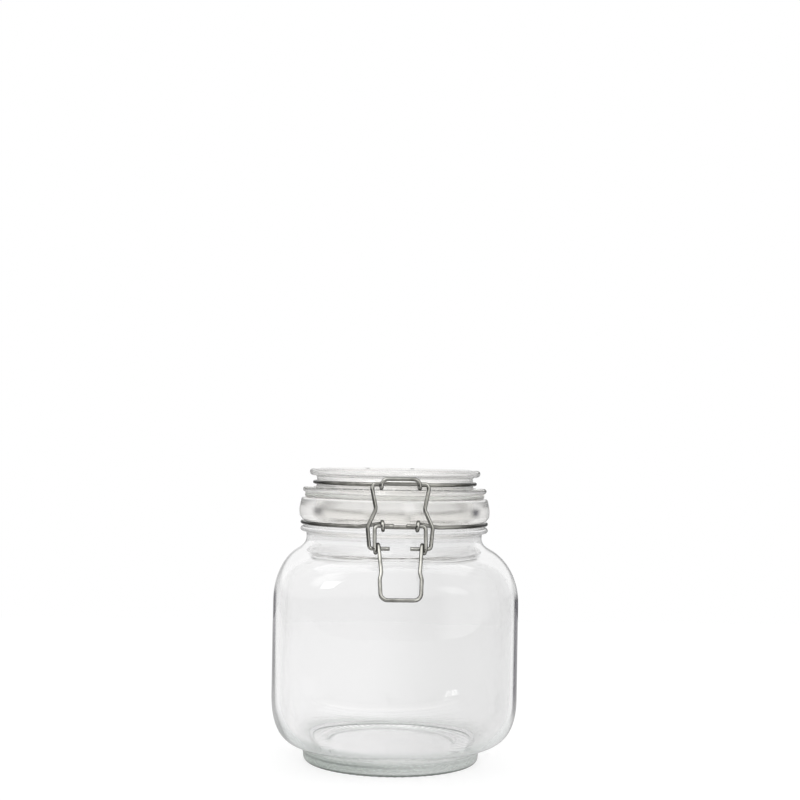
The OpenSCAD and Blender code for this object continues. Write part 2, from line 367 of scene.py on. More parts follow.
@dataclass(frozen=True)
class ClearGlass:
    """Clear soda glass, with a green-grey cast where it is thick, and painted shade: darker on the
    right, dark on edge, in dark spots in the collar, and as a line and a contact shadow at the
    foot.

    Places are in metres. A pair says where a soft step begins and ends, and four numbers say where
    a soft band begins, is full, begins to fade and ends.
    """

    name: str
    # The glass itself, paler on the left by painted shade that darkens it towards the right, and a
    # little warmer from the neck up.
    lit_side_tone: Colour = (0.905, 0.904, 0.905)
    # Tone of the glass with painted shade, towards the right.
    thick: Colour = (0.852, 0.852, 0.852)
    shaded_side: Pair = (-0.015, 0.03)
    clear: Colour = (1.0, 1.0, 1.0)
    warm_cast: Colour = (0.99, 0.98, 0.96)
    warm_height: Pair = (0.110, 0.114)
    left_to_right: Pair = (-0.03, 0.03)
    left_to_middle: Pair = (-0.03, 0.01)
    middle: Pair = (-0.01, 0.01)
    # Painted shade on the edge of the outer skin beside the corners: it begins sooner and lower on
    # the right.
    edge: Colour = (0.07, 0.065, 0.08)
    right_edge_shade: Colour = (0.022, 0.020, 0.026)
    edge_turn: Pair = (0.72, 0.83)
    edge_sooner: Pair = (0.0, 0.12)
    edge_side: Pair = (-0.05, 0.05)
    edge_corner: Pair = (0.020, 0.030)
    edge_height: Pair = (0.018, 0.052)
    edge_lower: Pair = (0.0, 0.012)
    wall_slope: Pair = (0.08, 0.32)
    # Green-grey of the thick glass round the foot, with painted shade that is darker on the left,
    # and painted shade in the heel above it, where it is seen on edge.
    foot_tint_and_shade_left: Colour = (0.36, 0.41, 0.37)
    foot_tint_and_shade_right: Colour = (0.58, 0.62, 0.59)
    foot_radius: Pair = (0.0392, 0.0412)
    foot_top: Pair = (0.005, 0.011)
    heel_shade_left: Colour = (0.58, 0.62, 0.60)
    heel_shade_right: Colour = (0.78, 0.82, 0.80)
    heel_shade_height: Span = (0.008, 0.012, 0.018, 0.034)
    heel_shade_turn: Pair = (0.35, 0.6)
    # Painted contact shadow where the foot stands, and a painted dark line of shade above that,
    # which is fainter on the right.
    contact_shadow: Colour = (0.06, 0.07, 0.065)
    contact_radius: Pair = (0.0403, 0.0411)
    contact_top: Pair = (0.0010, 0.0020)
    shade_line_height: Span = (0.0040, 0.0045, 0.0050, 0.0055)
    shade_line_share: Pair = (0.75, 0.20)
    # Painted shade: dark spots in the collar, on either side of the clamp.
    collar_shade: Colour = (0.015, 0.015, 0.025)
    collar_shade_height: Span = (0.1155, 0.1195, 0.1200, 0.1240)
    collar_shade_turn: Span = (0.28, 0.39, 0.42, 0.54)
    collar_shade_later: Pair = (0.0, 0.08)
    collar_shade_share: Pair = (0.85, 0.95)
    # Roughness: the neck's pressed bore, and the knurled band at the foot.
    pressed: float = 0.20
    bore_height: Span = (0.104, 0.107, 0.1382, 0.1388)
    bore_radius: Pair = (0.0388, 0.0392)
    knurled: float = 0.16
    band_radius: Pair = (0.0395, 0.0415)
    band_top: Pair = (0.009, 0.013)
    # Relief: stipples in the knurled band, and slow waves that are calmer from the neck up.
    stipple_scale: float = 620.0
    stipple_size: Pair = (0.5, 0.7)
    stipple_rise: float = 0.5
    wave: float = 0.10
    wave_scale: float = 30.0
    wave_share: Pair = (1.0, 0.3)
    neck_height: Pair = (0.101, 0.106)
    relief: float = 0.0012
    # Light: its refraction, and the shade that shadow rays and long trapped rays take with them.
    ior: float = 1.51
    shade: Colour = (0.90, 0.90, 0.90)
    longest_way: Pair = (5.4, 5.6)

    def painted_edge_shade(self, at: GlassPoint) -> Signal:
        """Share of the painted edge shade at a point.

        Args:
            at: Where the point lies and how it meets the eye.

        Returns:
            The share.
        """
        turn = at.facing + at.side.ramp(*self.edge_side, *self.edge_sooner)
        lift = at.height + at.side.ramp(*self.left_to_right, *self.edge_lower)
        rim = turn.ramp(*self.edge_turn) * at.skin * at.upright
        return rim * at.corner.ramp(*self.edge_corner) * lift.ramp(*self.edge_height)

    def foot_tint_and_heel_shade(self, at: GlassPoint) -> Signal:
        """Colour that the thick glass of the foot takes away at a point, with painted shade on the
        foot and in the heel.

        Args:
            at: Where the point lies and how it meets the eye.

        Returns:
            The colour.
        """
        # Green-grey of the thick foot with painted shade darker on the left; green-grey painted
        # shade in the heel where it is seen on edge.
        foot = at.radius.ramp(*self.foot_radius) * at.height.fade(*self.foot_top)
        foot_shaded_tint = at.side.ramp(*self.left_to_middle).tint(self.foot_tint_and_shade_left, self.foot_tint_and_shade_right)
        heel = at.skin * at.height.band(*self.heel_shade_height) * at.facing.ramp(*self.heel_shade_turn)
        heel_shade_tone = at.side.ramp(*self.left_to_right).tint(self.heel_shade_left, self.heel_shade_right)
        return heel.tint(foot.tint(self.clear, foot_shaded_tint), heel_shade_tone)

    def foot_shade_lines(self, at: GlassPoint) -> Signal:
        """Share of the painted contact shadow and the painted line of shade on the foot at a point.

        Args:
            at: Where the point lies and how it meets the eye.

        Returns:
            The share.
        """
        # Painted contact shadow where the foot stands, and a painted line of shade above it,
        # fainter on the right.
        outside = at.radius.ramp(*self.contact_radius)
        stands = outside * at.height.fade(*self.contact_top)
        shade_line = at.height.band(*self.shade_line_height) * outside
        return stands.at_least(shade_line * at.side.ramp(*self.left_to_middle, *self.shade_line_share))

    def painted_collar_shade(self, at: GlassPoint) -> Signal:
        """Share of the painted dark spots in the collar at a point.

        Args:
            at: Where the point lies and how it meets the eye.

        Returns:
            The share.
        """
        turn = at.facing - at.side.ramp(*self.middle, *self.collar_shade_later)
        # Painted shade: dark spots in the collar beside the clamp.
        shade_spot = at.height.band(*self.collar_shade_height) * at.skin * turn.band(*self.collar_shade_turn)
        return shade_spot * at.side.ramp(*self.middle, *self.collar_shade_share)

    def colour(self, at: GlassPoint) -> Signal:
        """Colour of the glass at a point.

        Args:
            at: Where the point lies and how it meets the eye.

        Returns:
            The colour.
        """
        # Painted shade: the glass grows darker towards the right.
        body = at.side.ramp(*self.shaded_side).tint(self.lit_side_tone, self.thick)
        # Painted contact shadow and line of shade over the foot's tint.
        cast = self.foot_shade_lines(at).tint(self.foot_tint_and_heel_shade(at), self.contact_shadow)
        cast = cast * at.height.ramp(*self.warm_height).tint(self.clear, self.warm_cast)
        # Painted shade: dark spots in the collar.
        cast = self.painted_collar_shade(at).tint(cast, self.collar_shade)
        # Painted shade on the edges, darker on the right.
        dark = at.side.ramp(*self.left_to_right).tint(self.edge, self.right_edge_shade)
        return self.painted_edge_shade(at).tint(body * cast, dark)

    def material(self) -> bpy.types.Material:
        """Builds the material.

        Returns:
            A material that lets shadow rays through, so that what stands in the glass is lit.
        """
        made, tree = new_material(self.name)
        at = GlassPoint.on(tree, self.wall_slope)
        bore = at.height.band(*self.bore_height) * at.radius.fade(*self.bore_radius)
        band = at.skin * at.radius.ramp(*self.band_radius) * at.height.fade(*self.band_top)
        stipple = tree.noise(at.place, self.stipple_scale, 0.0).ramp(*self.stipple_size)
        waves = tree.noise(at.place, self.wave_scale, 1.0)
        waves = waves * at.height.ramp(*self.neck_height, *self.wave_share)
        rise = waves + stipple * band * self.stipple_rise
        glass = tree.principled(
            {
                "Base Color": self.colour(at),
                "Roughness": self.knurled * band + self.pressed * bore,
                "IOR": self.ior,
                "Transmission Weight": 1.0,
                "Normal": tree.bump(rise, self.wave, self.relief),
            }
        )
        clear = tree.output_of("ShaderNodeBsdfTransparent", 0, Color=(*self.shade, 1.0))
        passing = tree.ray("Ray Depth").ramp(*self.longest_way).at_least(tree.ray("Is Shadow Ray"))
        tree.show(tree.mix(passing, glass, clear))
        return made


@dataclass(frozen=True)
class SealRubber:
    """Milky translucent rubber with a faint moulded texture."""

    name: str = "seal_rubber_milky"
    light: Colour = (0.97, 0.97, 0.95)
    dark: Colour = (0.93, 0.93, 0.90)
    cloud_scale: float = 90.0
    cloud_tone: Pair = (0.35, 0.7)
    cloud_film: Span = (0.3, 0.7, 0.38, 0.52)
    grain_scale: float = 1400.0
    grain: float = 0.25
    grain_rise: float = 0.0002
    milky: float = 0.8
    ior: float = 1.42

    def material(self) -> bpy.types.Material:
        """Builds the material.

        Returns:
            The material.
        """
        made, tree = new_material(self.name)
        place = tree.place()
        cloud = tree.noise(place, self.cloud_scale, 3.0)
        grain = tree.noise(place, self.grain_scale, 2.0)
        shader = tree.principled(
            {
                "Base Color": cloud.ramp(*self.cloud_tone).tint(self.light, self.dark),
                "Roughness": cloud.ramp(*self.cloud_film),
                "Transmission Weight": self.milky,
                "IOR": self.ior,
                "Normal": tree.bump(grain, self.grain, self.grain_rise),
            }
        )
        tree.show(shader)
        return made


@dataclass(frozen=True)
class DrawnSteel:
    """Bright drawn steel wire: fine lines along it, a duller film in places and painted shade that
    darkens its flanks.

    A span says between which noise values a roughness runs from one value to another.
    """

    name: str = "clamp_wire_steel"
    bright: Colour = (0.50, 0.495, 0.46)
    dull: Colour = (0.29, 0.285, 0.262)
    open_face: Colour = (1.0, 1.0, 1.0)
    flank_shade: Colour = (0.07, 0.07, 0.065)
    flank_shade_turn: Pair = (0.08, 0.62)
    line_stretch: Triple = (34.0, 60.0, 1.0)
    line_gloss: Span = (0.45, 0.8, 0.0, 0.05)
    line_strength: float = 0.30
    line_rise: float = 0.00006
    film_scale: float = 190.0
    film_tone: Pair = (0.38, 0.72)
    film_gloss: Span = (0.3, 0.75, 0.06, 0.16)

    def material(self) -> bpy.types.Material:
        """Builds the material from the wire's own lengthwise coordinates.

        Returns:
            The material.
        """
        made, tree = new_material(self.name)
        along = tree.output_of("ShaderNodeTexCoord", "UV")
        lines = tree.noise(along * self.line_stretch, 1.0, 3.0)
        film = tree.noise(tree.place(), self.film_scale, 3.0)
        # Painted shade that darkens the flanks, where the wire is seen on edge.
        flank_shade = tree.facing().ramp(*self.flank_shade_turn)
        tone = film.ramp(*self.film_tone).tint(self.bright, self.dull)
        shader = tree.principled(
            {
                "Base Color": tone * flank_shade.tint(self.open_face, self.flank_shade),
                "Metallic": 1.0,
                "Roughness": film.ramp(*self.film_gloss) + lines.ramp(*self.line_gloss),
                "Normal": tree.bump(lines, self.line_strength, self.line_rise),
            }
        )
        tree.show(shader)
        return made


@dataclass(frozen=True)
class StudioWhite:
    """White sweep that keeps a soft shadow and stays white when seen through glass or in metal."""

    name: str = "studio_white"
    albedo: float = 0.36
    lift: float = 0.70
    gloss: float = 0.27
    through: float = 0.89

    def material(self) -> bpy.types.Material:
        """Builds the material.

        Returns:
            The material.
        """
        made, tree = new_material(self.name)
        grey = (self.albedo, self.albedo, self.albedo, 1.0)
        paint = tree.output_of("ShaderNodeBsdfDiffuse", 0, Color=grey)
        seen = tree.ray("Is Camera Ray").at_least(tree.sent() * self.through)
        seen = seen.at_least(tree.ray("Is Glossy Ray") * self.gloss)
        glow = tree.output_of("ShaderNodeEmission", 0, Strength=seen * self.lift)
        both = tree.add("ShaderNodeAddShader", {}, {0: paint, 1: glow})
        tree.show(Signal(tree, both.outputs[0]))
        return made


# ---------------------------------------------------------------------------------------------
# Outlines and meshes, in millimetres until a mesh is made


def bezier(a: Pair, b: Pair, c: Pair, d: Pair, steps: int, skip: int = 0) -> list[Pair]:
    """Points on a cubic curve.

    Args:
        a: Start.
        b: First handle.
        c: Second handle.
        d: End.
        steps: Number of intervals.
        skip: Points left out at the start.

    Returns:
        The points in order.
    """
    made = []
    for i in range(skip, steps + 1):
        t = i / steps
        w = ((1 - t) ** 3, 3 * t * (1 - t) ** 2, 3 * t * t * (1 - t), t**3)
        made.append(tuple(sum(k * p[j] for k, p in zip(w, (a, b, c, d))) for j in (0, 1)))
    return made


def arc(centre: Pair, radius: float, start: float, stop: float, steps: int = 8) -> list[Pair]:
    """Points on an arc, with its angles in degrees.

    Args:
        centre: Middle of the circle.
        radius: Its radius.
        start: Angle of the first point.
        stop: Angle of the last point.
        steps: Number of intervals.

    Returns:
        The points in order.
    """
    turns = [math.radians(start + (stop - start) * i / steps) for i in range(steps + 1)]
    return [(centre[0] + radius * math.cos(a), centre[1] + radius * math.sin(a)) for a in turns]


def upright(half: float, bottom: float, top: float, steps: int = 8) -> list[Pair]:
    """Points of an upright line between its ends, without these.

    Args:
        half: Its distance from the axis.
        bottom: Height of its lower end.
        top: Height of its upper end.
        steps: Number of intervals.

    Returns:
        The points, upwards.
    """
    return [(half, bottom + (top - bottom) * k / steps) for k in range(1, steps)]


@dataclass(frozen=True)
class Squared:
    """How a round section squares up as it widens."""

    round_r: float
    full_half: float
    full_corner: float

    def flat(self, half: float) -> float:
        """Half the length of the flat side of a section of this half-width."""
        share = max(0.0, (half - self.round_r) / (self.full_half - self.round_r))
        return share * (self.full_half - self.full_corner)


def section(half: float, z: float, flat: float, count: int) -> list[Vector]:
    """A square with rounded corners and softly bulging sides, at one height.

    Args:
        half: Half of its width.
        z: Its height.
        flat: Half the length that its sides would have if they were straight, 0 for a circle.
        count: Number of points.

    Returns:
        The points, anticlockwise from +X.
    """
    corner_reach = 1.0 + (math.sqrt(2.0) - 1.0) * flat / half
    power = 1.0 / (0.5 - math.log2(corner_reach))
    made = []
    for i in range(count):
        angle = 2 * math.pi * i / count
        c, s = math.cos(angle), math.sin(angle)
        reach = half / (abs(c) ** power + abs(s) ** power) ** (1.0 / power)
        made.append(Vector((reach * c, reach * s, z)))
    return made


def mesh_object(
    name: str,
    points: Iterable[Vector],
    faces: Sequence[Sequence[int]],
    uvs: Sequence[Pair] | None = None,
) -> bpy.types.Object:
    """Makes a smooth-shaded object from points in millimetres.

    Args:
        name: The object's name.
        points: Its vertices, in millimetres.
        faces: Its faces, as vertex numbers.
        uvs: Coordinates of each face corner, in order, or None.

    Returns:
        The linked object.
    """
    data = bpy.data.meshes.new(name)
    data.from_pydata([tuple(p * MM) for p in points], [], faces)
    if uvs is not None:
        layer = data.uv_layers.new(name="wire")
        layer.data.foreach_set("uv", [v for pair in uvs for v in pair])
    data.polygons.foreach_set("use_smooth", [True] * len(data.polygons))
    data.update()
    made = bpy.data.objects.new(name, data)
    bpy.context.scene.collection.objects.link(made)
    return made


def quads(rings: int, count: int, closed: bool = False) -> list[tuple[int, ...]]:
    """Faces between rings of points that follow each other.

    Args:
        rings: Number of rings.
        count: Points in each ring.
        closed: Whether the last ring joins the first.

    Returns:
        The four-sided faces, ring by ring.
    """
    made: list[tuple[int, ...]] = []
    for k in range(rings if closed else rings - 1):
        near, far = k * count, (k + 1) % rings * count
        for i in range(count):
            j = (i + 1) % count
            made.append((near + i, near + j, far + j, far + i))
    return made


def shell(name: str, rings: Sequence[Sequence[Vector]]) -> bpy.types.Object:
    """Makes a closed surface from rings that begin and end on the axis.

    Args:
        name: The object's name.
        rings: Rings of equal length, from the middle of the underside to the last one inside.

    Returns:
        The object, with a fan of triangles at each end.
    """
    count = len(rings[0])
    points = [p for r in rings for p in r]
    faces = quads(len(rings), count)
    for ring, turned in ((0, True), (len(rings) - 1, False)):
        middle = Vector((0.0, 0.0, sum(p.z for p in rings[ring]) / count))
        points.append(middle)
        hub = len(points) - 1
        for i in range(count):
            a, b = ring * count + i, ring * count + (i + 1) % count
            faces.append((hub, b, a) if turned else (hub, a, b))
    return mesh_object(name, points, faces)


def mark_outer_skin(made: bpy.types.Object, outside: int) -> None:
    """Marks the first vertices of a shell as its outer skin, which takes painted shade towards its
    edges.

    Args:
        made: The shell.
        outside: Number of vertices on the outer skin.
    """
    layer = made.data.attributes.new(OUTER_SKIN, "FLOAT", "POINT")
    count = len(made.data.vertices)
    layer.data.foreach_set("value", [float(i < outside) for i in range(count)])


def place_piece(
    made: bpy.types.Object, finish: bpy.types.Material, body: Body, node: str
) -> bpy.types.Object:
    """Gives a piece its finish and its place in the frame.

    Args:
        made: The piece.
        finish: Its material.
        body: The body it rides on.
        node: The CAD node it stands for.

    Returns:
        The piece.
    """
    made.data.materials.append(finish)
    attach(made, body.value)
    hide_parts(node)
    return made


# ---------------------------------------------------------------------------------------------
# Wire, in millimetres


LONGEST_STEP = 2.4
SAME_POINT = 0.05
# How far a cut end is rounded, as a share of the wire's radius.
CUT_EASE = 0.22


class WirePath:
    """The middle line of a bent wire, built from straights, bends and coils."""

    def __init__(self, bend_step: float = 12.0) -> None:
        """Starts an empty path; bend_step is the largest turn between points, in degrees."""
        self.points: list[Vector] = []
        self.bend_step = bend_step

    def bent(self, route: Sequence[Vector], radii: Sequence[float]) -> "WirePath":
        """Adds a route of corners, each rounded by its own radius.

        Args:
            route: Start, corners and end.
            radii: Bend radius of each corner between the ends.

        Returns:
            This path.
        """
        self.points.append(route[0].copy())
        for i, radius in enumerate(radii, start=1):
            before = (route[i] - route[i - 1]).normalized()
            after = (route[i + 1] - route[i]).normalized()
            turn = before.angle(after)
            if turn < math.radians(1):
                self.points.append(route[i].copy())
                continue
            middle = route[i] + (after - before).normalized() * radius / math.cos(turn / 2)
            start = route[i] - before * radius * math.tan(turn / 2)
            spin = before.cross(after)
            steps = max(2, math.ceil(math.degrees(turn) / self.bend_step))
            for k in range(steps + 1):
                turned = Matrix.Rotation(turn * k / steps, 3, spin) @ (start - middle)
                self.points.append(middle + turned)
        self.points.append(route[-1].copy())
        return self

    def coil(
        self, centre: Vector, radius: float, start: float, stop: float, shift: float, steps: int
    ) -> "WirePath":
        """Adds turns round an axis along X, with angles in degrees from +Y towards +Z.

        Args:
            centre: Middle of the first point's circle.
            radius: Radius to the middle of the wire.
            start: First angle.
            stop: Last angle.
            shift: How far the coil moves along X in all.
            steps: Number of intervals.

        Returns:
            This path.
        """
        for k in range(steps + 1):
            share = k / steps
            angle = math.radians(start + (stop - start) * share)
            offset = Vector((shift * share, radius * math.cos(angle), radius * math.sin(angle)))
            self.points.append(centre + offset)
        return self

    def ring_part(
        self, radius: float, z: float, start: float, stop: float, steps: int
    ) -> "WirePath":
        """Adds part of a level circle about the jar's axis, with angles in degrees from +X.

        Args:
            radius: Radius of the circle.
            z: Its height.
            start: First angle.
            stop: Last angle.
            steps: Number of intervals.

        Returns:
            This path.
        """
        for x, y in arc((0.0, 0.0), radius, start, stop, steps):
            self.points.append(Vector((x, y, z)))
        return self

    def then_mirrored(self) -> "WirePath":
        """Adds the same line on the other side of the plane x = 0, back to front."""
        self.points += [Vector((-p.x, p.y, p.z)) for p in reversed(self.points)]
        return self

    def even(self, longest: float, closed: bool) -> list[Vector]:
        """Splits long straights and drops points that lie on each other.

        Args:
            longest: Longest step that is left, in millimetres.
            closed: Whether the last point joins the first.

        Returns:
            The points of the path.
        """
        kept = [self.points[0]]
        for p in self.points[1:]:
            step = p - kept[-1]
            if step.length < SAME_POINT:
                continue
            parts = math.ceil(step.length / longest)
            kept += [kept[-1] + step * (k / parts) for k in range(1, parts + 1)]
        if closed and (kept[-1] - kept[0]).length < SAME_POINT:
            kept.pop()
        return kept

    def swept(
        self, name: str, radius: float, sides: int = 16, closed: bool = False
    ) -> bpy.types.Object:
        """Sweeps a round section along the path.

        Args:
            name: The object's name.
            radius: Radius of the wire, in millimetres.
            sides: Points round the section.
            closed: Whether the wire joins itself.

        Returns:
            The wire, with its cut ends a little rounded.
        """
        line = self.even(LONGEST_STEP, closed)
        tangents = tangents_along(line, closed)
        axes = carried_axes(tangents)
        twist = closing_twist(tangents[0], axes) if closed else 0.0
        rings = [WireSection(p, radius, axes[k], k / len(line)) for k, p in enumerate(line)]
        if not closed:
            ease = CUT_EASE * radius
            rings[0] = WireSection(line[0] + tangents[0] * ease, radius, axes[0], 0.0)
            rings[-1] = WireSection(line[-1] - tangents[-1] * ease, radius, axes[-1], 1.0)
            rings.insert(0, WireSection(line[0], radius - ease, axes[0], 0.0))
            rings.append(WireSection(line[-1], radius - ease, axes[-1], 1.0))
        points = [p for ring in rings for p in ring.points(sides, twist)]
        faces = quads(len(rings), sides, closed)
        ways = ways_along([ring.middle for ring in rings], closed)
        uvs = []
        for near, far in zip(ways, ways[1:]):
            for k in range(sides):
                left, right = k / sides, (k + 1) / sides
                uvs += [(left, near), (right, near), (right, far), (left, far)]
        if not closed:
            faces.append(tuple(range(sides))[::-1])
            faces.append(tuple(range(len(points) - sides, len(points))))
            for end in (ways[0], ways[-1]):
                uvs += [(0.5, end)] * sides
        return mesh_object(name, points, faces, uvs)


@dataclass(frozen=True)
class WireSection:
    """A round section of a wire: its middle, its radius, its axes and its share of the wire."""

    middle: Vector
    radius: float
    axes: tuple[Vector, Vector]
    share: float

    def points(self, sides: int, twist: float) -> list[Vector]:
        """Points round the section.

        Args:
            sides: How many.
            twist: Turn that a closed wire has to lose from end to end, in radians.

        Returns:
            The points.
        """
        u, v = self.axes
        turns = [2 * math.pi * k / sides - twist * self.share for k in range(sides)]
        return [self.middle + self.radius * (math.cos(a) * u + math.sin(a) * v) for a in turns]


def ways_along(middles: Sequence[Vector], closed: bool) -> list[float]:
    """Ways along a wire to the middles of its sections, in metres.

    Args:
        middles: The middles, in millimetres.
        closed: Whether the last one joins the first.

    Returns:
        The ways, and for a closed wire the whole way round as well.
    """
    after = [*middles[1:], middles[0]] if closed else middles[1:]
    made = [0.0]
    for near, far in zip(middles, after):
        made.append(made[-1] + (far - near).length * MM)
    return made


def tangents_along(line: Sequence[Vector], closed: bool) -> list[Vector]:
    """Directions of a line at its points.

    Args:
        line: Its points.
        closed: Whether the last one joins the first.

    Returns:
        A unit vector for each point.
    """
    last = len(line) - 1
    made = []
    for i, p in enumerate(line):
        before = line[i - 1] if i > 0 or closed else p
        after = line[(i + 1) % len(line)] if i < last or closed else p
        made.append((after - before).normalized())
    return made


def carried_axes(tangents: Sequence[Vector]) -> list[tuple[Vector, Vector]]:
    """Two axes across a line at each point, carried along it without turning about it.

    Args:
        tangents: Directions of the line.

    Returns:
        The pair of axes for each direction.
    """
    across = tangents[0].orthogonal().normalized()
    made = []
    for i, t in enumerate(tangents):
        if i:
            across = across - t * across.dot(t)
            across.normalize()
        made.append((across.copy(), t.cross(across)))
    return made


def closing_twist(first: Vector, axes: Sequence[tuple[Vector, Vector]]) -> float:
    """Turn that the axes have made once they are carried all the way round a closed line.

    Args:
        first: Direction of the line at its first point.
        axes: The carried axes.

    Returns:
        The turn in radians.
    """
    (across, up), last = axes[0], axes[-1][0]
    carried = last - first * last.dot(first)
    return math.atan2(carried.dot(up), carried.dot(across))


# ---------------------------------------------------------------------------------------------
# Sizes that the pieces share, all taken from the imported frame


@dataclass(frozen=True)
class Clamp:
    """Pivots of the clamp and the hinge, and the wire they are made of, in millimetres."""

    wire_d: float
    lever: Vector
    coil: Vector
    hinge: Vector
    play: float = 0.1
    slack: float = 0.04

    @property
    def wire_r(self) -> float:
        """Radius of the wire."""
        return self.wire_d / 2

    @property
    def eye_r(self) -> float:
        """Radius to the middle of the wire of an eye that turns on a wire end."""
        return self.wire_d + self.play

    @classmethod
    def from_frame(cls) -> "Clamp":
        """Reads the pivots from the joints and the wire from the neck hoop's box.

        Returns:
            The clamp. An eye of the hoop reaches one and a half wires, the play and the slack
            beyond the hinge, which gives the wire.
        """
        at = {j["name"]: Vector(j["pos_m"]) / MM for j in frame["joints"]}
        eye_out = corners("neck_hoop")[1].y - at["lid_hinge"].y
        wire_d = round((eye_out - cls.play - cls.slack) / 1.5, 2)
        return cls(wire_d, at["lever_pivot"], at["bail_pivot"], at["lid_hinge"])


def corners(node: str) -> tuple[Vector, Vector]:
    """A CAD node's lowest and highest corner, in millimetres."""
    low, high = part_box(node)
    return low / MM, high / MM


def flipped(p: Vector) -> Vector:
    """The same point on the other side of the plane x = 0."""
    return Vector((-p.x, p.y, p.z))


def touch_angle(away: Vector, radius: float, side: int) -> float:
    """Angle at which a straight wire meets a coil, in degrees from +Y towards +Z.

    Args:
        away: The straight's far end, from the coil's middle.
        radius: Radius to the middle of the coil's wire.
        side: 1 or -1, for one or the other of the two lines that touch it.

    Returns:
        The angle of the point where they touch.
    """
    reach = math.hypot(away.y, away.z)
    return math.degrees(math.atan2(away.z, away.y) + side * math.acos(radius / reach))


def on_coil(centre: Vector, radius: float, angle: float) -> Vector:
    """Point of a coil about an axis along X, at an angle in degrees from +Y towards +Z."""
    a = math.radians(angle)
    return centre + Vector((0.0, radius * math.cos(a), radius * math.sin(a)))


# ---------------------------------------------------------------------------------------------
# Pieces


